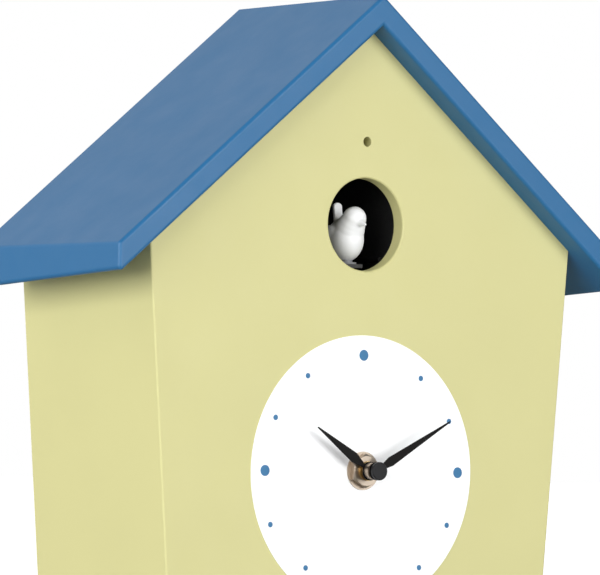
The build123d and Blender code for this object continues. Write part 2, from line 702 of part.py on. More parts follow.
PIVOT_FRONT = MOVE_FRONT + SHELL - PIVOT_DEPTH + 2 * JOIN
PIVOT_REAR = PLATE_Y + TRAIN_PLATE_T - JOIN


def minute_arbor():
    """Centre arbor with its cannon pinion; it carries the minute hand."""
    arbor = rod_y(*CENTRE, ARBOR_R, ahead(MINUTE_PLANE + HAND_T + HAND_NUT_T), PLATE_Y - 3 * JOIN)
    arbor += rod_y(*CENTRE, ARBOR_END_R, PLATE_Y - 4 * JOIN, PIVOT_REAR)
    return arbor + gear_y(*CENTRE, CANNON_TEETH, HANDWORK_MODULE, MINUTE_LAYER,
                          MINUTE_LAYER + LAYER, MINUTE_ANGLE + 180 / CANNON_TEETH)


def hour_wheel():
    """Hour wheel with the pipe that carries the hour hand."""
    wheel = gear_y(*CENTRE, HOUR_WHEEL_TEETH, HOUR_MODULE, HOUR_LAYER, HOUR_LAYER + LAYER,
                   MINUTE_ANGLE + 180 / HOUR_WHEEL_TEETH)
    front = ahead(HOUR_PIPE_FRONT)
    wheel += rod_y(*CENTRE, PIPE_R, front, HOUR_LAYER + JOIN)
    return wheel - rod_y(*CENTRE, ARBOR_R + FIT, front - CUT, HOUR_LAYER + LAYER + CUT)


def minute_wheel():
    """Loose wheel and pinion between the centre arbor and the hour wheel."""
    rear = MINUTE_LAYER + LAYER
    tooth_at = MINUTE_ANGLE + 180
    wheel = gear_y(*MINUTE_SPOT, MINUTE_WHEEL_TEETH, HANDWORK_MODULE, MINUTE_LAYER, rear, tooth_at)
    wheel += gear_y(*MINUTE_SPOT, HOUR_PINION_TEETH, HOUR_MODULE, HOUR_LAYER, MINUTE_LAYER + JOIN, tooth_at)
    return wheel - rod_y(*MINUTE_SPOT, STUD_R + PIVOT_FIT, HOUR_LAYER - CUT, rear + CUT)


def setting_knob():
    """Knurled knob at the rear whose pinion turns the minute wheel."""
    spot = SETTING_SPOT
    front = MOVE_REAR + KNOB_GAP
    knob = gear_y(*spot, CANNON_TEETH, HANDWORK_MODULE, MINUTE_LAYER, MINUTE_LAYER + LAYER,
                  SETTING_ANGLE + 180 + 180 / CANNON_TEETH)
    knob += rod_y(*spot, KNOB_SHAFT_R, MINUTE_LAYER + LAYER / 2, front + JOIN)
    head = rod_y(*spot, KNOB_R, front, front + KNOB_T)
    for i in range(KNURLS):
        mark = away(spot, KNOB_R + KNURL_R / 2, 360 * i / KNURLS)
        head -= rod_y(*mark, KNURL_R, front - CUT / 2, front + KNOB_T + CUT)
    return knob + head


def centre_wheel():
    """Driven wheel that grips the centre arbor through its friction bush."""
    y0 = TRAIN_LAYERS[0]
    teeth, _, module, angle = CENTRE_MESH
    wheel = gear_y(*CENTRE, teeth, module, y0, y0 + TRAIN_T, angle)
    wheel += rod_y(*CENTRE, CENTRE_HUB_R, y0, y0 + CENTRE_HUB_T)
    return wheel - rod_y(*CENTRE, ARBOR_R + FRICTION_FIT, y0 - CUT, y0 + CENTRE_HUB_T + CUT)


def train_wheel(spot, entry, leaving, layer):
    """Wheel and pinion on one arbor: the pinion meshes at entry, the wheel at leaving."""
    _, pinion, module, angle = entry
    teeth, _, wheel_module, wheel_angle = leaving
    y0, y1 = TRAIN_LAYERS[layer], TRAIN_LAYERS[layer + 1]
    arbor = rod_y(*spot, PIVOT_R, PIVOT_FRONT, PIVOT_REAR)
    arbor += gear_y(*spot, pinion, module, y0, y1, angle + 180 + 180 / pinion)
    return arbor + gear_y(*spot, teeth, wheel_module, y1, y1 + TRAIN_T, wheel_angle)


def rotor():
    """Magnet of the stepping motor with its pinion."""
    _, pinion, module, angle = STEP_MESH
    y0 = TRAIN_LAYERS[3]
    piece = rod_y(*ROTOR_SPOT, PIVOT_R, PIVOT_FRONT, PIVOT_REAR)
    piece += gear_y(*ROTOR_SPOT, pinion, module, y0, y0 + TRAIN_T, angle + 180 + 180 / pinion)
    return piece + rod_y(*ROTOR_SPOT, MAGNET_R, y0 + MAGNET_FROM, y0 + MAGNET_TO)


def stator():
    """Soft iron plate round the rotor, with the core that the coil sits on."""
    y0, y1 = STATOR_Y, STATOR_Y + STATOR_T
    x, z = ROTOR_SPOT
    right = COIL_HIGH_X + LIMB
    plate = block(x - STATOR_LEFT, right, y0, y1, z - STATOR_LOW, z + STATOR_HIGH)
    plate += block(COIL_LOW_X - LIMB, right, y0, y1, z + STATOR_HIGH - JOIN, COIL_Z + CORE_HALF)
    plate -= block(COIL_LOW_X - CUT, COIL_HIGH_X + CUT, y0 - CUT, y1 + CUT, z + LIMB_GAP, COIL_Z - CORE_HALF)
    return plate - rod_y(x, z, STATOR_BORE_R, y0 - CUT, y1 + CUT)


def coil():
    """Winding between its two bobbin flanges."""
    y = STATOR_Y + STATOR_T / 2
    piece = rod_x(y, COIL_Z, COIL_R, COIL_LOW_X, COIL_HIGH_X)
    for x in (COIL_LOW_X, COIL_HIGH_X - BOBBIN_T):
        piece += block(x, x + BOBBIN_T, y - BOBBIN_HALF_Y, y + BOBBIN_HALF_Y,
                       COIL_Z - BOBBIN_HALF_Z, COIL_Z + BOBBIN_HALF_Z)
    return piece - block(COIL_LOW_X - CUT, COIL_HIGH_X + CUT, STATOR_Y, STATOR_Y + STATOR_T,
                         COIL_Z - CORE_HALF, COIL_Z + CORE_HALF)


def movement_board():
    """Circuit board with its quartz can and chip."""
    y0 = STATOR_Y
    middle = sum(CHIP_BOARD_X) / 2
    board = block(*CHIP_BOARD_X, y0, y0 + CHIP_BOARD_T, *CHIP_BOARD_Z)
    board += rod_y(middle, AXIS_Z + 4, CHIP_R, y0 - 0.7, y0 + JOIN)
    board += Pos(middle, y0 - 0.7, AXIS_Z + 15) * Cylinder(CAN_R, CAN_LENGTH)
    return board + block(middle, middle + CAN_R, y0 - 4 * JOIN, y0 + JOIN, AXIS_Z + 12, AXIS_Z + 18)


def aa_cell(y, z, way=1):
    """AA cell along X, centred, with its button towards +X when way is 1."""
    half = AA_LENGTH / 2
    seat = way * (half - BUTTON_T)
    body = rod_x(y, z, AA_R, -way * half, seat)
    body = fillet(body.edges().filter_by(GeomType.CIRCLE), AA_ROUND)
    return body + rod_x(y, z, BUTTON_R, seat - way * JOIN, way * half)


def movement_cell():
    return aa_cell(AA_Y, AA_Z)


def contact_spring(y, z):
    """Sprung negative contact at the left end of a cell."""
    x1 = -AA_LENGTH / 2 - CONTACT_GAP
    x0 = x1 - SPRING_LENGTH
    step = (SPRING_LENGTH - 4 * JOIN) / SPRING_TURNS
    piece = block(x0 - CONTACT_T, x0, y - CONTACT_HALF, y + CONTACT_HALF, z - CONTACT_HALF, z + CONTACT_HALF)
    for i in range(SPRING_TURNS):
        turn = Torus(SPRING_R - SPRING_TAPER * i, CONTACT_T)
        piece += Pos(x0 + step * (i + 0.5), y, z) * Rot(0, 90, 0) * turn
    return piece + rod_x(y, z, SPRING_CORE_R, x0 - JOIN, x1 - JOIN)


def battery_contacts():
    """Sprung and flat contacts at the ends of the three cells."""
    pieces = []
    spots = [(AA_Y, AA_Z, 0)] + [(CELL_Y, z, turn) for z, turn in zip(CELL_ZS, (0, 180))]
    x0 = AA_LENGTH / 2 + CONTACT_GAP
    for y, z, turn in spots:
        flat = block(x0, x0 + CONTACT_T, y - CONTACT_HALF, y + CONTACT_HALF,
                     z - CONTACT_HALF, z + CONTACT_HALF)
        for piece in (flat, contact_spring(y, z)):
            pieces.append(Pos(0, y, z) * Rot(0, 0, turn) * Pos(0, -y, -z) * piece)
    return group(pieces)


# ---------------------------------------------------------------- bird module
def cuckoo_housing():
    """Black box behind the front panel: bird chamber above, drive bay below."""
    body = block(-POD_HALF, POD_HALF, POD_FRONT, POD_REAR, POD_LOW, POD_HIGH)
    body = fillet(body.edges().filter_by(Axis.Y), POD_ROUND)
    inner = POD_HALF - POD_WALL
    front, rear = POD_FRONT + POD_WALL, POD_REAR + CUT
    top = POD_HIGH - POD_WALL
    body -= block(-inner, inner, front, rear, POD_LOW + POD_WALL, SHELF_Z - SHELF_T)
    body -= block(-CHAMBER_HALF, CHAMBER_HALF, POD_FRONT - CUT, rear, SHELF_Z, top)
    body -= block(SLOT_LEFT, SLOT_RIGHT, front, rear, SHELF_Z - SHELF_T - CUT, SHELF_Z + CUT)
    for side in (-1, 1):
        body -= block(side * (CHAMBER_HALF + POD_WALL), side * inner, front, rear, SHELF_Z, top)
    for x, z in LUG_SPOTS:
        body += block(x - LUG_HALF_X, x + LUG_HALF_X, POD_FRONT, POD_FRONT + LUG_T,
                      z - LUG_HALF_Z, z + LUG_HALF_Z)
        body -= rod_y(x, z, CLEARANCE_R, POD_FRONT - CUT, POD_FRONT + LUG_T + CUT)
    for x, z in COVER_SPOTS:
        body += rod_y(x, z, BOSS_R, POD_REAR - BOSS_LENGTH, POD_REAR)
        body -= rod_y(x, z, SHANK_R, POD_REAR - BOSS_LENGTH + CUT, rear)
    return body


def pan_screw(x, y, z):
    """Pan-head screw with its seat at y and its shank towards the front."""
    head = rod_y(x, z, PAN_HEAD_R, y, y + PAN_HEAD_T)
    shank = rod_y(x, z, SHANK_R, y - PAN_LENGTH, y)
    recess = Box(PAN_CROSS, PAN_HEAD_T, PAN_CROSS_W) + Box(PAN_CROSS_W, PAN_HEAD_T, PAN_CROSS)
    return head + shank - Pos(x, y + PAN_HEAD_T, z) * recess


def module_screws():
    """Four screws through the lugs into the front panel, four through the cover into the bosses."""
    pieces = [pan_screw(x, POD_FRONT + LUG_T, z) for x, z in LUG_SPOTS]
    pieces += [pan_screw(x, POD_REAR + COVER_T, z) for x, z in COVER_SPOTS]
    return group(pieces)


def guide_rods():
    return group(rod_y(side * ROD_X, ROD_Z, ROD_R, POD_FRONT + JOIN, POD_REAR) for side in (-1, 1))


def rack(y0, y1):
    """Rack along Y with its teeth facing down and a gap between teeth over the drive axis."""
    pitch = pi * RACK_MODULE
    tip = RACK_PITCH_Z - ADDENDUM * RACK_MODULE
    root = RACK_PITCH_Z + DEDENDUM * RACK_MODULE
    slope = tan(radians(PRESSURE_ANGLE))
    half = TOOTH_SHARE * pitch / 2
    wide = half + DEDENDUM * RACK_MODULE * slope
    thin = half - ADDENDUM * RACK_MODULE * slope
    points = [(y0, SLED_LOW + JOIN), (y0, root)]
    middle = DRIVE_Y + (int((y0 - DRIVE_Y) / pitch) - 0.5) * pitch
    while middle + wide < y1:
        if middle - wide > y0:
            points += [(middle - wide, root), (middle - thin, tip)]
            points += [(middle + thin, tip), (middle + wide, root)]
        middle += pitch
    points += [(y1, root), (y1, SLED_LOW + JOIN)]
    outline = make_face(Polyline([(-RACK_HALF, y, z) for y, z in points], close=True))
    return extrude(outline, amount=2 * RACK_HALF, dir=(1, 0, 0))


def bird_carriage():
    """Sled on the guide rods, with a tongue under the bird and a rack below."""
    front, rear = CARRIAGE_FRONT, CARRIAGE_REAR
    sled = block(-CARRIAGE_HALF, CARRIAGE_HALF, front, rear, SLED_LOW, SLED_HIGH)
    for side in (-1, 1):
        x = side * ROD_X
        sled += block(x - BEARING_HALF, x + BEARING_HALF, front, rear, SLED_LOW, BEARING_TOP)
    sled += block(-TONGUE_HALF, TONGUE_HALF, TONGUE_FRONT, front + JOIN, SLED_LOW, SLED_HIGH)
    sled += rack(front + RACK_GAP, rear)
    for side in (-1, 1):
        sled -= rod_y(side * ROD_X, ROD_Z, ROD_R + ROD_FIT, front - CUT, rear + CUT)
    return sled


def ball(x, deep, z, radius, stretch=(1.0, 1.0, 1.0), tilt=0.0):
    """Ball or egg at a depth behind the front of the case."""
    return Pos(x, FRONT + deep, z) * Rot(tilt, 0, 0) * scale(Sphere(radius), by=stretch)


def neck():
    """Cone that touches the ball of the head and the ball of the chest all round."""
    run, rise = CHEST_DEEP - HEAD_DEEP, CHEST_Z - HEAD_Z
    reach = sqrt(run ** 2 + rise ** 2)
    lean = (CHEST_BALL - HEAD_BALL) / reach
    squeeze = sqrt(1 - lean ** 2)
    start, end = -lean * HEAD_BALL / reach, 1 - lean * CHEST_BALL / reach
    middle = (start + end) / 2
    axis = Plane(origin=(0, FRONT + HEAD_DEEP + middle * run, HEAD_Z + middle * rise), z_dir=(0, run, rise))
    return axis * Cone(HEAD_BALL * squeeze, CHEST_BALL * squeeze, (end - start) * reach)


def bird():
    """Moulded bird: head, beak, egg-shaped body cut flat below, wings, raised tail."""
    piece = ball(0, HEAD_DEEP, HEAD_Z, HEAD_BALL) + ball(0, CHEST_DEEP, CHEST_Z, CHEST_BALL) + neck()
    piece += ball(0, BODY_DEEP, BODY_Z, BODY_BALL, BODY_SCALE)
    for side in (-1, 1):
        piece += ball(side * WING_X, WING_DEEP, WING_Z, WING_BALL, WING_SCALE, WING_TILT)
    cone = Pos(0, 0, BEAK_LENGTH / 2) * Cone(BEAK_BASE_R, BEAK_TIP_R, BEAK_LENGTH)
    piece += Pos(0, FRONT + BEAK_DEEP, BEAK_Z) * Rot(90 + BEAK_DROOP, 0, 0) * cone
    tail = Box(TAIL_WIDE, TAIL_T, TAIL_LENGTH)
    top = tail.faces().sort_by(Axis.Z)[-1].edges().filter_by(Axis.Y)
    piece += Pos(0, FRONT + TAIL_DEEP, TAIL_Z) * Rot(TAIL_LEAN, 0, 0) * fillet(top, TAIL_ROUND)
    reach = 2 * BODY_BALL
    return piece - block(-reach, reach, FRONT - reach, FRONT + 2 * reach, BIRD_FLOOR - reach, BIRD_FLOOR)


def bird_perch():
    """Peg between the carriage and the bird."""
    y = FRONT + PERCH_DEEP
    peg = Pos(0, y, (SLED_HIGH + BIRD_FLOOR) / 2) * Cylinder(PERCH_R, BIRD_FLOOR - SLED_HIGH)
    return peg + Pos(0, y, SLED_HIGH + PERCH_FOOT_T / 2) * Cylinder(PERCH_FOOT_R, PERCH_FOOT_T)


def drive_gear():
    """Rack pinion and drive gear moulded together."""
    piece = gear_x(DRIVE_Y, DRIVE_Z, RACK_PINION_TEETH, RACK_MODULE, -RACK_PINION_HALF, RACK_PINION_HALF, 90)
    piece += gear_x(DRIVE_Y, DRIVE_Z, DRIVE_TEETH, DRIVE_MODULE, *GEAR_X, -90)
    piece += rod_x(DRIVE_Y, DRIVE_Z, HUB_R, -HUB_HALF, HUB_HALF)
    return piece - rod_x(DRIVE_Y, DRIVE_Z, AXLE_R + FIT, -HUB_HALF - CUT, HUB_HALF + CUT)


def drive_axle():
    return rod_x(DRIVE_Y, DRIVE_Z, AXLE_R, -MOTOR_X, MOTOR_X)


def gear_brackets():
    """Two plates that hold the drive axle and the motor."""
    pieces = []
    low, high = POD_LOW + POD_WALL, SHELF_Z - SHELF_T
    for side in (-1, 1):
        x0, x1 = sorted((side * BRACKET_X, side * MOTOR_X))
        plate = block(x0, x1, DRIVE_Y - BRACKET_HALF, DRIVE_Y + BRACKET_HALF, low, high)
        plate -= rod_x(DRIVE_Y, DRIVE_Z, AXLE_R, x0 - CUT, x1 + CUT)
        plate -= rod_x(DRIVE_Y, MOTOR_Z, MOTOR_BOSS_R, x0 - CUT, x1 + CUT)
        pieces.append(plate)
    return group(pieces)


def motor():
    """Flat-sided can motor with its front boss and rear cap."""
    end = MOTOR_X + MOTOR_LENGTH
    flats = block(MOTOR_X, end, DRIVE_Y - MOTOR_HALF, DRIVE_Y + MOTOR_HALF,
                  MOTOR_Z - MOTOR_R, MOTOR_Z + MOTOR_R)
    can = rod_x(DRIVE_Y, MOTOR_Z, MOTOR_R, MOTOR_X, end) & flats
    can += rod_x(DRIVE_Y, MOTOR_Z, MOTOR_BOSS_R, BRACKET_X, MOTOR_X + JOIN)
    can += rod_x(DRIVE_Y, MOTOR_Z, MOTOR_CAP_R, end - JOIN, end + MOTOR_CAP_T)
    return can - rod_x(DRIVE_Y, MOTOR_Z, MOTOR_SHAFT_R + FIT, BRACKET_X - CUT, end + MOTOR_CAP_T / 3)


def motor_pinion():
    """Pinion on the motor shaft."""
    shaft = rod_x(DRIVE_Y, MOTOR_Z, MOTOR_SHAFT_R, MOTOR_SHAFT_X, MOTOR_X + MOTOR_LENGTH)
    return shaft + gear_x(DRIVE_Y, MOTOR_Z, MOTOR_TEETH, DRIVE_MODULE, *GEAR_X, 90 + 180 / MOTOR_TEETH)


def on_sound_board(part):
    """Block that stands on the sound board, from its height and its Y and Z limits."""
    height, y0, y1, z0, z1 = part
    face = SOUND_BOARD_X[1]
    return block(face - JOIN, face + height, y0, y1, z0, z1)


def sound_board():
    """Circuit board with chip, capacitors and the socket of the speaker."""
    face = SOUND_BOARD_X[1]
    board = block(*SOUND_BOARD_X, *SOUND_BOARD_Y, *SOUND_BOARD_Z)
    board += on_sound_board(SOUND_CHIP)
    for y in CAPACITOR_YS:
        board += rod_x(y, CAPACITOR_Z, CAPACITOR_R, face - JOIN, face + CAPACITOR_LENGTH)
    return board + on_sound_board(SOCKET)


def speaker_rod(radius, inner, outer):
    """Disc on the speaker's axis between two depths inside its rim."""
    return rod_y(SPEAKER_X, SPEAKER_Z, radius, POD_REAR - inner, POD_REAR - outer)


def speaker_frame():
    """Steel basket with its magnet, facing the rear cover."""
    frame = speaker_rod(SPEAKER_R, BASKET_FRONT, 0)
    frame += speaker_rod(BASKET_R, BASKET_MIDDLE, BASKET_FRONT - JOIN)
    frame += speaker_rod(MAGNET_POT_R, BASKET_REAR, BASKET_MIDDLE - JOIN)
    return frame - cone_y(SPEAKER_X, SPEAKER_Z, VOICE_R, SPEAKER_R - SPEAKER_RIM,
                          POD_REAR - BASKET_MIDDLE + CUT, POD_REAR + JOIN / 10)


def speaker_cone():
    rear, front = POD_REAR - BASKET_MIDDLE + CUT + 3 * JOIN, POD_REAR - 3 * JOIN
    small, large = VOICE_R - CONE_T, SPEAKER_R - CONE_MARGIN
    cone = cone_y(SPEAKER_X, SPEAKER_Z, small, large, rear, front)
    cone += speaker_rod(large, 3 * JOIN + JOIN / 10, 0)
    return cone - cone_y(SPEAKER_X, SPEAKER_Z, small - CONE_T, large - CONE_T, rear + CONE_T, front + CONE_T)


def rear_cover():
    """Cover of the module with the tray for two cells, speaker slots and the switch slot."""
    y0, y1 = POD_REAR, POD_REAR + COVER_T
    half = CELL_BOX_HALF
    cover = block(-POD_HALF, POD_HALF, y0, y1, POD_LOW, POD_HIGH)
    cover = fillet(cover.edges().filter_by(Axis.Y), POD_ROUND)
    tray = block(-half, half, y1 - JOIN, y1 + CELL_BOX_DEPTH, CELL_BOX_LOW, CELL_BOX_HIGH)
    tray -= block(CELL_BOX_END - half, half - CELL_BOX_END, y1, y1 + CELL_BOX_DEPTH + CUT,
                  CELL_BOX_LOW + CELL_BOX_SIDE, CELL_BOX_HIGH - CELL_BOX_SIDE)
    cover += tray
    for i in range(-SLOTS_EACH_WAY, SLOTS_EACH_WAY + 1):
        z = SPEAKER_Z + SLOT_STEP * i
        reach = 0.9 * sqrt((SPEAKER_R - 2) ** 2 - (SLOT_STEP * i) ** 2)
        cover -= block(SPEAKER_X - reach, SPEAKER_X + reach, y0 - CUT, y1 + CUT, z - SLOT_HALF, z + SLOT_HALF)
    cover -= block(SWITCH_X - SWITCH_SLOT_HALF_X, SWITCH_X + SWITCH_SLOT_HALF_X, y0 - CUT, y1 + CUT,
                   SWITCH_Z - SWITCH_SLOT_HALF_Z, SWITCH_Z + SWITCH_SLOT_HALF_Z)
    for x, z in COVER_SPOTS:
        cover -= rod_y(x, z, CLEARANCE_R, y0 - CUT, y1 + CUT)
    for side in (-1, 1):
        x0, x1 = sorted((side * COVER_KNUCKLE_X[0], side * COVER_KNUCKLE_X[1]))
        cover += rod_x(HINGE_Y, HINGE_Z, KNUCKLE_R, x0, x1)
        cover += block(x0, x1, HINGE_Y - KNUCKLE_R, HINGE_Y, HINGE_Z, CELL_BOX_LOW + CUT)
        cover -= rod_x(HINGE_Y, HINGE_Z, PIN_R + FIT, x0 - CUT, x1 + CUT)
    return cover


def power_cells():
    return group(aa_cell(CELL_Y, z, way) for z, way in zip(CELL_ZS, (1, -1)))


def battery_door():
    """Door over the two cells, turning on a pin along its lower edge."""
    half, outer = CELL_BOX_HALF, DOOR_Y + DOOR_T
    door = block(-half, half, DOOR_Y, outer, CELL_BOX_LOW, CELL_BOX_HIGH)
    door = fillet(door.edges().filter_by(Axis.Y), DOOR_ROUND)
    for i in range(4):
        z = CELL_BOX_HIGH - 5 - RIB_STEP * i
        door += block(-RIB_HALF_X, RIB_HALF_X, outer - JOIN, outer + RIB_HALF, z - RIB_HALF, z + RIB_HALF)
    for side in (-1, 1):
        x0, x1 = sorted((side * DOOR_KNUCKLE_X[0], side * DOOR_KNUCKLE_X[1]))
        door += block(x0, x1, HINGE_Y - 0.5, outer, HINGE_Z, CELL_BOX_LOW - 0.5)
        door += block(x0, x1, DOOR_Y, outer, CELL_BOX_LOW - 0.6, CELL_BOX_LOW + JOIN)
        door += rod_x(HINGE_Y, HINGE_Z, KNUCKLE_R, x0, x1)
        door += rod_x(HINGE_Y, HINGE_Z, PIN_R, side * (DOOR_KNUCKLE_X[1] - JOIN), side * PIN_END_X)
    return door


def sound_switch():
    """Slider of the sound switch, at its off end."""
    x = SWITCH_X - SWITCH_TRAVEL / 2
    top = POD_REAR + COVER_T + SWITCH_SLOT_HALF_Z - 4 * JOIN
    knob = block(x - KNOB_HALF_X, x + KNOB_HALF_X, POD_REAR - 0.5, top,
                 SWITCH_Z - KNOB_HALF_Z, SWITCH_Z + KNOB_HALF_Z)
    knob += block(x - SLIDE_HALF_X, x + SLIDE_HALF_X, POD_REAR - 1.6, POD_REAR - 0.3,
                  SWITCH_Z - SLIDE_HALF_Z, SWITCH_Z + SLIDE_HALF_Z)
    for i in (-1, 0, 1):
        groove = x + 1.4 * i
        knob -= block(groove - 0.25, groove + 0.25, top - 0.4, top + CUT, SWITCH_Z - 2, SWITCH_Z + 2)
    return knob


def light_sensor():
    """Light sensor in its sleeve, behind the small hole."""
    rear = INSIDE + SLEEVE_DEPTH
    sleeve = ring_y(0, SENSOR_Z, SLEEVE_R, SLEEVE_BORE_R, INSIDE, rear)
    sleeve += rod_y(0, SENSOR_Z, SLEEVE_R, rear, rear + SLEEVE_END)
    return sleeve + rod_y(0, SENSOR_Z, SLEEVE_BORE_R - JOIN, INSIDE + SLEEVE_DEPTH / 3, rear + JOIN)


# ---------------------------------------------------------------- all nodes
def all_parts():
    return {
        "front_panel": front_panel(),
        "left_wall": side_wall(-1),
        "right_wall": side_wall(1),
        "base_board": base_board(),
        "roof_left": roof_board(-1),
        "roof_right": roof_board(1),
        "back_panel": back_panel(),
        "back_cleats": back_cleats(),
        "back_screws": back_screws(),
        "hanger_plate": hanger_plate(),
        "dial_disc": dial_disc(),
        "hour_dots": hour_dots(),
        "dial_washer": dial_washer(),
        "hex_nut": hex_nut(),
        "threaded_bush": threaded_bush(),
        "hour_hand": hour_hand(),
        "hour_collet": hour_collet(),
        "minute_hand": minute_hand(),
        "minute_collet": minute_collet(),
        "hand_nut": hand_nut(),
        "hand_cap": hand_cap(),
        "movement_gasket": movement_gasket(),
        "movement_front_case": movement_front_case(),
        "movement_rear_case": movement_rear_case(),
        "train_plate": train_plate(),
        "minute_arbor": minute_arbor(),
        "hour_wheel": hour_wheel(),
        "minute_wheel": minute_wheel(),
        "setting_knob": setting_knob(),
        "centre_wheel": centre_wheel(),
        "third_wheel": train_wheel(THIRD_SPOT, CENTRE_MESH, THIRD_MESH, 0),
        "fourth_wheel": train_wheel(FOURTH_SPOT, THIRD_MESH, FOURTH_MESH, 1),
        "step_wheel": train_wheel(STEP_SPOT, FOURTH_MESH, STEP_MESH, 2),
        "rotor": rotor(),
        "stator": stator(),
        "coil": coil(),
        "movement_board": movement_board(),
        "movement_cell": movement_cell(),
        "battery_contacts": battery_contacts(),
        "cuckoo_housing": cuckoo_housing(),
        "module_screws": module_screws(),
        "guide_rods": guide_rods(),
        "bird_carriage": bird_carriage(),
        "bird_perch": bird_perch(),
        "bird": bird(),
        "drive_gear": drive_gear(),
        "drive_axle": drive_axle(),
        "gear_brackets": gear_brackets(),
        "motor": motor(),
        "motor_pinion": motor_pinion(),
        "sound_board": sound_board(),
        "speaker_frame": speaker_frame(),
        "speaker_cone": speaker_cone(),
        "rear_cover": rear_cover(),
        "power_cells": power_cells(),
        "battery_door": battery_door(),
        "sound_switch": sound_switch(),
        "light_sensor": light_sensor(),
    }


os.makedirs("parts", exist_ok=True)
for name, shape in all_parts().items():
    export_step(shape, "parts/" + name + ".step")
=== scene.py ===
"""The cuckoo clock's looks: materials, bird, studio floor, lights and camera."""
import json
from math import cos, pi, radians, sin

import bmesh
import bpy
from mathutils import Matrix, Vector


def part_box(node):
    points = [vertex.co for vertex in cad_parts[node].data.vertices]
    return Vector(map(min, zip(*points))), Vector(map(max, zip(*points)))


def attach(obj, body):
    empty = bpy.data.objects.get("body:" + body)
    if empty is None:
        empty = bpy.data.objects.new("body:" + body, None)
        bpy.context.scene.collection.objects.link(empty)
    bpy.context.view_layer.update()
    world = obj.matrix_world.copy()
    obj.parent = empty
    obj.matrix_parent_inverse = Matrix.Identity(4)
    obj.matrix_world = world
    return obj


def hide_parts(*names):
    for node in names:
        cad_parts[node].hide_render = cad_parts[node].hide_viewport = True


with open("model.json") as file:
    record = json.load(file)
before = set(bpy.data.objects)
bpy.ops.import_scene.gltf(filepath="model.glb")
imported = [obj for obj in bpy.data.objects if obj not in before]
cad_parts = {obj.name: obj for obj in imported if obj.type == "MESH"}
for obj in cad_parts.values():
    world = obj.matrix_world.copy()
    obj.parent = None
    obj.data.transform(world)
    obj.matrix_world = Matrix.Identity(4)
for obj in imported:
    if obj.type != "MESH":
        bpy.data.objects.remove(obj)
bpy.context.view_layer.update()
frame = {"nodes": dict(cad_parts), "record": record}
NODES = frame["nodes"]
MM = 0.001

# ---------------------------------------------------------------- camera
FRONT_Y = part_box("front_panel")[0].y
RIDGE_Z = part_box("roof_left")[1].z
CAMERA_YAW = radians(36.1)       # from straight in front towards the clock's left
CAMERA_PITCH = radians(1.72)     # looking slightly up
CAMERA_ROLL = radians(0.975)
CAMERA_DISTANCE = 2.046
CAMERA_TARGET = Vector((-0.032, FRONT_Y, RIDGE_Z - 0.1171))
CAMERA_REACH = 100               # nothing further away than this is drawn
SENSOR_MM = 36.0
LENS_MM = 311.2


def add_camera():
    forward = Vector((sin(CAMERA_YAW) * cos(CAMERA_PITCH),
                      cos(CAMERA_YAW) * cos(CAMERA_PITCH),
                      sin(CAMERA_PITCH)))
    level = Vector((cos(CAMERA_YAW), -sin(CAMERA_YAW), 0))
    upright = level.cross(forward)
    right = cos(CAMERA_ROLL) * level + sin(CAMERA_ROLL) * upright
    up = -sin(CAMERA_ROLL) * level + cos(CAMERA_ROLL) * upright
    data = bpy.data.cameras.new("camera")
    data.lens = LENS_MM
    data.sensor_width = SENSOR_MM
    data.clip_end = CAMERA_REACH
    camera = bpy.data.objects.new("camera", data)
    bpy.context.scene.collection.objects.link(camera)
    matrix = Matrix((right, up, -forward)).transposed().to_4x4()
    matrix.translation = CAMERA_TARGET - forward * CAMERA_DISTANCE
    camera.matrix_world = matrix
    bpy.context.scene.camera = camera


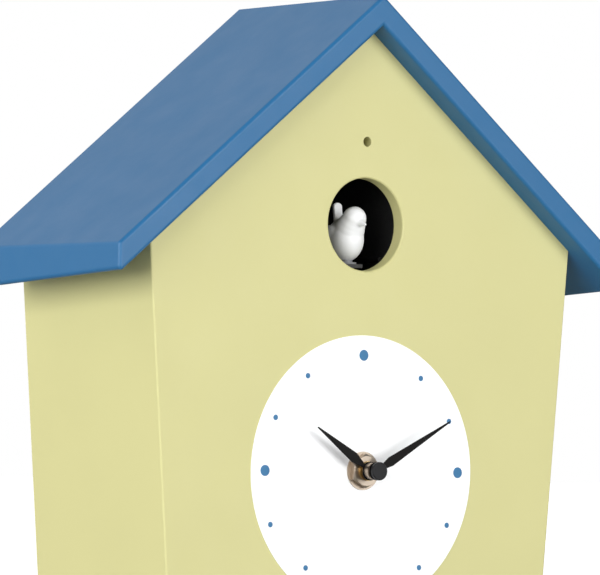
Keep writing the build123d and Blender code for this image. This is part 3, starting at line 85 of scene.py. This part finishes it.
# ---------------------------------------------------------------- node helpers
class Shader:
    """A material's node tree with short ways to add what these materials need."""

    def __init__(self, name):
        self.material = bpy.data.materials.new(name)
        self.material.use_nodes = True
        self.tree = self.material.node_tree
        self.main = self.tree.nodes["Principled BSDF"]
        self.place = self.tree.nodes.new("ShaderNodeTexCoord").outputs["Object"]

    def node(self, kind, **values):
        node = self.tree.nodes.new(kind)
        for key, value in values.items():
            setattr(node, key, value)
        return node

    def link(self, source, target):
        self.tree.links.new(source, target)

    def set(self, **values):
        for key, value in values.items():
            self.main.inputs[key.replace("_", " ")].default_value = value

    def stretched(self, scale):
        """Coordinates scaled by a different amount along each axis."""
        mapping = self.node("ShaderNodeMapping")
        mapping.inputs["Scale"].default_value = scale
        self.link(self.place, mapping.inputs["Vector"])
        return mapping.outputs["Vector"]

    def noise(self, scale, detail=3.0, roughness=0.5, vector=None):
        """Noise with grains of about 1 / scale metres."""
        node = self.node("ShaderNodeTexNoise")
        node.inputs["Scale"].default_value = scale
        node.inputs["Detail"].default_value = detail
        node.inputs["Roughness"].default_value = roughness
        self.link(vector or self.place, node.inputs["Vector"])
        return node.outputs["Fac"]

    def cells(self, scale):
        """Distance to the nearest of scattered points about 1 / scale metres apart."""
        node = self.node("ShaderNodeTexVoronoi", feature="F1")
        node.inputs["Scale"].default_value = scale
        self.link(self.place, node.inputs["Vector"])
        return node.outputs["Distance"]

    def spread(self, value, low, high, start=0.3, end=0.7):
        """Maps a texture from start..end to low..high."""
        node = self.node("ShaderNodeMapRange")
        for key, number in (("From Min", start), ("From Max", end), ("To Min", low), ("To Max", high)):
            node.inputs[key].default_value = number
        self.link(value, node.inputs["Value"])
        return node.outputs["Result"]

    def mix(self, factor, first, second):
        """Mixes two colours, or colour sockets, by a texture."""
        node = self.node("ShaderNodeMix", data_type="RGBA")
        self.link(factor, node.inputs["Factor"])
        for key, colour in (("A", first), ("B", second)):
            socket = [s for s in node.inputs if s.name == key and s.type == "RGBA"][0]
            if isinstance(colour, bpy.types.NodeSocket):
                self.link(colour, socket)
            else:
                socket.default_value = (*colour, 1.0)
        return [s for s in node.outputs if s.type == "RGBA"][0]

    def math(self, operation, first, second):
        node = self.node("ShaderNodeMath", operation=operation)
        for socket, value in zip(node.inputs, (first, second)):
            if isinstance(value, bpy.types.NodeSocket):
                self.link(value, socket)
            else:
                socket.default_value = value
        return node.outputs["Value"]

    def bump(self, height, distance, strength=1.0):
        node = self.node("ShaderNodeBump")
        node.inputs["Strength"].default_value = strength
        node.inputs["Distance"].default_value = distance
        self.link(height, node.inputs["Height"])
        self.link(node.outputs["Normal"], self.main.inputs["Normal"])

    def colour(self, socket):
        self.link(socket, self.main.inputs["Base Color"])

    def roughness(self, socket):
        self.link(socket, self.main.inputs["Roughness"])


def from_srgb(red, green, blue):
    """Linear colour from display values of 0 to 255."""
    return tuple(((v / 255 + 0.055) / 1.055) ** 2.4 if v > 10 else v / 255 / 12.92
                 for v in (red, green, blue))


def darker(colour, share):
    return tuple(v * share for v in colour)


# ---------------------------------------------------------------- materials
def paint(name, colour, rough, coat):
    """Sprayed satin lacquer on board: faint orange peel, slow changes of tone and gloss."""
    s = Shader(name)
    tone = s.spread(s.noise(14, 2), 0.0, 1.0)
    s.colour(s.mix(tone, colour, darker(colour, 0.965)))
    s.roughness(s.spread(s.noise(60, 4), rough - 0.04, rough + 0.05))
    peel = s.noise(420, 2, 0.4)
    dust = s.noise(2600, 1, 0.3)
    height = s.math("ADD", peel, s.math("MULTIPLY", dust, 0.3))
    s.bump(height, 0.00004, 0.5)
    s.set(IOR=1.5, Coat_Weight=coat, Coat_Roughness=0.25)
    return s.material


def printed(name, colour, rough=0.5):
    """Matt printing ink on a smooth disc."""
    s = Shader(name)
    s.colour(s.mix(s.spread(s.noise(40, 2), 0, 1), colour, darker(colour, 0.975)))
    s.roughness(s.spread(s.noise(300, 3), rough - 0.05, rough + 0.05))
    s.bump(s.noise(3000, 2, 0.6), 0.000006)
    return s.material


def moulded(name, colour, rough=0.5, grain=2200, depth=0.00003, shine=0.5):
    """Moulded plastic with a fine spark-eroded texture."""
    s = Shader(name)
    s.colour(s.mix(s.spread(s.noise(70, 3), 0, 1), colour, darker(colour, 0.92)))
    s.roughness(s.spread(s.noise(500, 3), rough - 0.06, rough + 0.06))
    s.bump(s.noise(grain, 3, 0.6), depth)
    s.set(Specular_IOR_Level=shine)
    return s.material


def metal(name, colour, rough):
    """Plated or turned metal with faint machining marks."""
    s = Shader(name)
    s.colour(s.mix(s.spread(s.noise(120, 3), 0, 1), colour, darker(colour, 0.93)))
    marks = s.noise(1600, 3, 0.5)
    s.roughness(s.spread(marks, rough - 0.03, rough + 0.04))
    s.bump(marks, 0.000003, 0.25)
    s.set(Metallic=1.0)
    return s.material


def fibreboard(name):
    """Bare fibreboard: matted fibres, darker flecks."""
    s = Shader(name)
    light, dark = from_srgb(178, 143, 104), from_srgb(140, 104, 70)
    fibres = s.noise(700, 6, 0.75, s.stretched((1.0, 1.0, 0.35)))
    flecks = s.spread(s.cells(420), 1.0, 0.0, 0.05, 0.22)
    body = s.mix(s.spread(fibres, 0, 1, 0.32, 0.68), light, dark)
    s.colour(s.mix(flecks, body, from_srgb(108, 78, 50)))
    s.roughness(s.spread(fibres, 0.75, 0.92))
    s.bump(fibres, 0.00012, 0.6)
    return s.material


def copper_wire(name):
    """Enamelled winding: fine turns across the coil's axis."""
    s = Shader(name)
    wave = s.node("ShaderNodeTexWave", wave_type="BANDS", bands_direction="X")
    wave.inputs["Scale"].default_value = 3200
    wave.inputs["Distortion"].default_value = 0.6
    s.link(s.place, wave.inputs["Vector"])
    s.colour(s.mix(wave.outputs["Fac"], from_srgb(120, 58, 28), from_srgb(205, 118, 66)))
    s.roughness(s.spread(wave.outputs["Fac"], 0.25, 0.45, 0, 1))
    s.bump(wave.outputs["Fac"], 0.00005)
    s.set(Metallic=0.8)
    return s.material


def circuit_board(name):
    """Solder resist with faint copper tracks under it."""
    s = Shader(name)
    base, track = from_srgb(18, 78, 42), from_srgb(44, 120, 66)
    brick = s.node("ShaderNodeTexBrick")
    brick.inputs["Scale"].default_value = 260
    brick.inputs["Mortar Size"].default_value = 0.06
    s.link(s.place, brick.inputs["Vector"])
    s.colour(s.mix(brick.outputs["Fac"], base, track))
    s.roughness(s.spread(s.noise(400, 2), 0.28, 0.42))
    s.bump(brick.outputs["Fac"], 0.00003)
    return s.material


CELL_BAND_FROM = 0.0115          # where the copper band starts, along X from the cell's middle
CELL_END_FROM = 0.0236           # where the bare metal ends start


def cell_sleeve(name):
    """Cell without print: dark sleeve, copper band at one end, bare metal ends."""
    s = Shader(name)
    split = s.node("ShaderNodeSeparateXYZ")
    s.link(s.place, split.inputs["Vector"])
    reach = s.math("ABSOLUTE", split.outputs["X"], 0)
    band = s.math("GREATER_THAN", split.outputs["X"], CELL_BAND_FROM)
    ends = s.math("GREATER_THAN", reach, CELL_END_FROM)
    body = s.mix(band, from_srgb(26, 26, 28), from_srgb(176, 112, 58))
    s.colour(s.mix(ends, body, from_srgb(186, 186, 184)))
    s.link(s.math("MAXIMUM", band, ends), s.main.inputs["Metallic"])
    s.roughness(s.spread(s.noise(900, 3), 0.24, 0.36))
    s.bump(s.noise(1500, 2), 0.000008)
    return s.material


def paper_cone(name):
    """Pressed paper of the speaker."""
    s = Shader(name)
    fibres = s.noise(1800, 5, 0.7)
    s.colour(s.mix(s.spread(fibres, 0, 1), from_srgb(38, 38, 40), from_srgb(60, 58, 56)))
    s.roughness(s.spread(fibres, 0.8, 0.95))
    s.bump(fibres, 0.00006)
    return s.material


# the colours the surfaces have by themselves, a little darker than they look under the lights
YELLOW = from_srgb(201, 197, 139)
BLUE = from_srgb(15, 95, 144)
BIRD = from_srgb(238, 239, 240)


def make_materials():
    """One material for each of the record's slots."""
    return {
        "case_paint": paint("case_paint", YELLOW, 0.55, 0.0),
        "roof_paint": paint("roof_paint", BLUE, 0.55, 0.2),
        "bare_board": fibreboard("bare_board"),
        "zinc_steel": metal("zinc_steel", from_srgb(205, 207, 210), 0.34),
        "black_steel": metal("black_steel", from_srgb(24, 24, 25), 0.55),
        "nickel": metal("nickel", from_srgb(184, 170, 154), 0.32),
        "brass": metal("brass", from_srgb(214, 184, 124), 0.3),
        "copper": copper_wire("copper"),
        "dial_white": printed("dial_white", from_srgb(250, 251, 252), 0.42),
        "dial_blue": printed("dial_blue", from_srgb(40, 108, 154), 0.5),
        "hand_black": moulded("hand_black", from_srgb(14, 12, 11), 0.5, 3000, 0.000008, 0.12),
        "cap_black": moulded("cap_black", from_srgb(20, 20, 23), 0.45, 2600, 0.00001, 0.25),
        "black_plastic": moulded("black_plastic", from_srgb(28, 28, 29), 0.52),
        "white_plastic": moulded("white_plastic", from_srgb(228, 227, 220), 0.45),
        "bird_white": moulded("bird_white", BIRD, 0.42, 1800, 0.00001),
        "grey_plastic": moulded("grey_plastic", from_srgb(120, 121, 124), 0.5),
        "rubber": moulded("rubber", from_srgb(32, 32, 32), 0.8, 1500, 0.00005),
        "board_green": circuit_board("board_green"),
        "cell_wrap": cell_sleeve("cell_wrap"),
        "paper": paper_cone("paper"),
    }


def dress_nodes(materials):
    """Gives each carried-over CAD node the material of its slot."""
    for row in frame["record"]["subparts"]:
        data = NODES[row["node"]].data
        data.materials.clear()
        data.materials.append(materials[row["material_slot"]])


# ---------------------------------------------------------------- bird
BIRD_FLOOR_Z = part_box("bird")[0].z
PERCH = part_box("bird_perch")
BIRD_Y = (PERCH[0].y + PERCH[1].y) / 2       # the perch stands below the chest
GRID = 0.0003                                # how finely the pieces are blended, m
SOFTEN_STEPS = 8
# millimetres from the middle of the perch's top: centre, radii, then tilt about X in degrees
BIRD_EGGS = [
    ((0, -5.2, 16.5), (4.8, 4.8, 4.8), 0),       # head
    ((0, -4.4, 15.3), (5.0, 5.0, 5.0), 0),       # neck, widening in three steps
    ((0, -3.2, 13.8), (5.6, 5.6, 5.6), 0),
    ((0, -1.9, 12.1), (6.2, 6.2, 6.2), 0),
    ((0, 0.0, 9.6), (7.0, 7.1, 7.1), 0),         # chest
    ((0, 1.0, 8.2), (7.2, 8.5, 9.0), 0),         # body
    ((-5.6, 5.2, 9.6), (2.3, 7.0, 4.0), -14),    # wings
    ((5.6, 5.2, 9.6), (2.3, 7.0, 4.0), -14),
]
BEAK_AT = (0, -11.0, 14.3)
BEAK_RADII = (1.6, 0.4)
BEAK_LENGTH = 4.2
BEAK_TILT = 104
TAIL_AT = (0, 5.7, 16.3)
TAIL_SIZE = (4.1, 1.6, 13.6)                 # wide, thick, high
TAIL_TILT = -8
TAIL_CORNER = 1.6                            # radius of the upper corners


def egg(target, centre, radii, tilt):
    """Stretched ball."""
    place = Matrix.Translation(Vector(centre) * MM) @ Matrix.Rotation(radians(tilt), 4, "X")
    size = Matrix.Diagonal((*(Vector(radii) * MM), 1))
    bmesh.ops.create_uvsphere(target, u_segments=64, v_segments=40, radius=1.0, matrix=place @ size)


def tapered(target, centre, radii, length, tilt):
    """Cone that narrows from the first radius to the second along its own +Z, then tilted about X."""
    place = Matrix.Translation(Vector(centre) * MM) @ Matrix.Rotation(radians(tilt), 4, "X")
    bmesh.ops.create_cone(target, cap_ends=True, segments=48, radius1=radii[0] * MM, radius2=radii[1] * MM,
                          depth=length * MM, matrix=place)


def add_tail(target, centre, size, tilt):
    """Upright strip with rounded corners."""
    wide, thick, high = size
    place = Matrix.Translation(Vector(centre) * MM) @ Matrix.Rotation(radians(tilt), 4, "X")
    lying = Matrix.Rotation(pi / 2, 4, "X")
    for x in (-1, 1):
        offset = Vector((x * (wide / 2 - TAIL_CORNER), 0, high / 2 - TAIL_CORNER))
        corner = Matrix.Translation(offset * MM)
        bmesh.ops.create_cone(target, cap_ends=True, segments=40, radius1=TAIL_CORNER * MM,
                              radius2=TAIL_CORNER * MM, depth=thick * MM, matrix=place @ corner @ lying)
    rounded = 2 * TAIL_CORNER
    for box_wide, box_high in ((wide, high - rounded), (wide - rounded, high)):
        box = Matrix.Diagonal((box_wide * MM, thick * MM, box_high * MM, 1))
        bmesh.ops.create_cube(target, size=1.0, matrix=place @ box)


def apply_modifiers(obj):
    """Swaps the object's mesh for the one its modifiers make."""
    graph = bpy.context.evaluated_depsgraph_get()
    mesh = bpy.data.meshes.new_from_object(obj.evaluated_get(graph))
    obj.modifiers.clear()
    obj.data = mesh


def add_bird(material):
    """Smooth moulded bird in place of the plain one, cut flat below."""
    build = bmesh.new()
    for centre, radii, tilt in BIRD_EGGS:
        egg(build, centre, radii, tilt)
    tapered(build, BEAK_AT, BEAK_RADII, BEAK_LENGTH, BEAK_TILT)
    add_tail(build, TAIL_AT, TAIL_SIZE, TAIL_TILT)
    mesh = bpy.data.meshes.new("bird_body")
    build.to_mesh(mesh)
    build.free()
    obj = bpy.data.objects.new("bird_body", mesh)
    bpy.context.scene.collection.objects.link(obj)
    obj.location = (0, BIRD_Y, BIRD_FLOOR_Z)
    remesh = obj.modifiers.new("blend", "REMESH")
    remesh.mode = "VOXEL"
    remesh.voxel_size = GRID
    smooth = obj.modifiers.new("soften", "SMOOTH")
    smooth.factor = 0.5
    smooth.iterations = SOFTEN_STEPS
    apply_modifiers(obj)
    cut = bmesh.new()
    cut.from_mesh(obj.data)
    bmesh.ops.bisect_plane(cut, geom=cut.verts[:] + cut.edges[:] + cut.faces[:], plane_co=(0, 0, 0),
                           plane_no=(0, 0, -1), clear_outer=True)
    bmesh.ops.contextual_create(cut, geom=[e for e in cut.edges if e.is_boundary])
    cut.to_mesh(obj.data)
    cut.free()
    obj.data.materials.clear()
    obj.data.materials.append(material)
    for face in obj.data.polygons:
        face.use_smooth = True
    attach(obj, "carriage")
    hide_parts("bird")


# ---------------------------------------------------------------- stage, lights
FLOOR_HALF = 12.0
FLOOR_BOUNCE = 0.45         # the floor's whiteness as a source of bounced light
FLOOR_GLOW = 0.7            # added only where the camera sees the floor
WORLD_FRONT = 0.2           # light from in front of the clock
WORLD_BACK = 0.9            # light from behind it
WORLD_TURN = (-0.1, 0.7)    # the direction's Y between which one becomes the other
LIGHT_TARGET = Vector((0, 0, 0.16))


def add_floor():
    """Pale floor: white to the camera, greyer as a source of bounced light."""
    half = FLOOR_HALF
    corners = [(-half, -half, 0), (half, -half, 0), (half, half, 0), (-half, half, 0)]
    mesh = bpy.data.meshes.new("floor")
    mesh.from_pydata(corners, [], [(0, 1, 2, 3)])
    floor = bpy.data.objects.new("floor", mesh)
    bpy.context.scene.collection.objects.link(floor)
    s = Shader("floor")
    pale = s.mix(s.spread(s.noise(3, 2), 0, 1), (0.93, 0.93, 0.93), (0.9, 0.9, 0.9))
    seen = s.node("ShaderNodeLightPath").outputs["Is Camera Ray"]
    s.colour(s.mix(seen, (FLOOR_BOUNCE,) * 3, pale))
    s.set(Roughness=0.9)
    s.main.inputs["Emission Color"].default_value = (1, 1, 1, 1)
    s.link(s.math("MULTIPLY", seen, FLOOR_GLOW), s.main.inputs["Emission Strength"])
    floor.data.materials.append(s.material)


def add_softbox(name, bearing, height, distance, size, power):
    """Soft panel aimed at the clock. bearing is from straight in front, positive to the right."""
    data = bpy.data.lights.new(name, "AREA")
    data.shape = "RECTANGLE"
    data.size, data.size_y = size
    data.energy = power
    light = bpy.data.objects.new(name, data)
    bpy.context.scene.collection.objects.link(light)
    out = Vector((sin(bearing) * cos(height), -cos(bearing) * cos(height), sin(height)))
    light.location = LIGHT_TARGET + out * distance
    light.rotation_euler = out.to_track_quat("Z", "Y").to_euler()


def add_world():
    """White backdrop; the light it gives is brighter from behind the clock than from in front."""
    world = bpy.data.worlds.new("studio")
    world.use_nodes = True
    tree = world.node_tree
    split = tree.nodes.new("ShaderNodeSeparateXYZ")
    ramp = tree.nodes.new("ShaderNodeMapRange")
    values = (("From Min", WORLD_TURN[0]), ("From Max", WORLD_TURN[1]),
              ("To Min", WORLD_FRONT), ("To Max", WORLD_BACK))
    for key, value in values:
        ramp.inputs[key].default_value = value
    seen = tree.nodes.new("ShaderNodeLightPath")
    strength = tree.nodes.new("ShaderNodeMath")
    strength.operation = "MAXIMUM"
    background = tree.nodes["Background"]
    background.inputs["Color"].default_value = (1, 1, 1, 1)
    tree.links.new(tree.nodes.new("ShaderNodeTexCoord").outputs["Generated"], split.inputs["Vector"])
    tree.links.new(split.outputs["Y"], ramp.inputs["Value"])
    tree.links.new(ramp.outputs["Result"], strength.inputs[0])
    tree.links.new(seen.outputs["Is Camera Ray"], strength.inputs[1])
    tree.links.new(strength.outputs["Value"], background.inputs["Strength"])
    bpy.context.scene.world = world


def add_stage():
    """Floor, three soft lights and the backdrop. Sizes in metres, powers in watts."""
    add_floor()
    add_softbox("key_light", radians(14), radians(8), 2.4, (1.6, 1.6), 51)
    add_softbox("fill_light", radians(-30), radians(5), 2.4, (2.0, 1.6), 9)
    add_softbox("left_light", radians(-78), radians(10), 2.2, (2.6, 1.2), 51)
    add_world()
    bpy.context.scene.view_settings.view_transform = "Standard"


add_camera()
materials = make_materials()
dress_nodes(materials)
add_bird(materials["bird_white"])
add_stage()
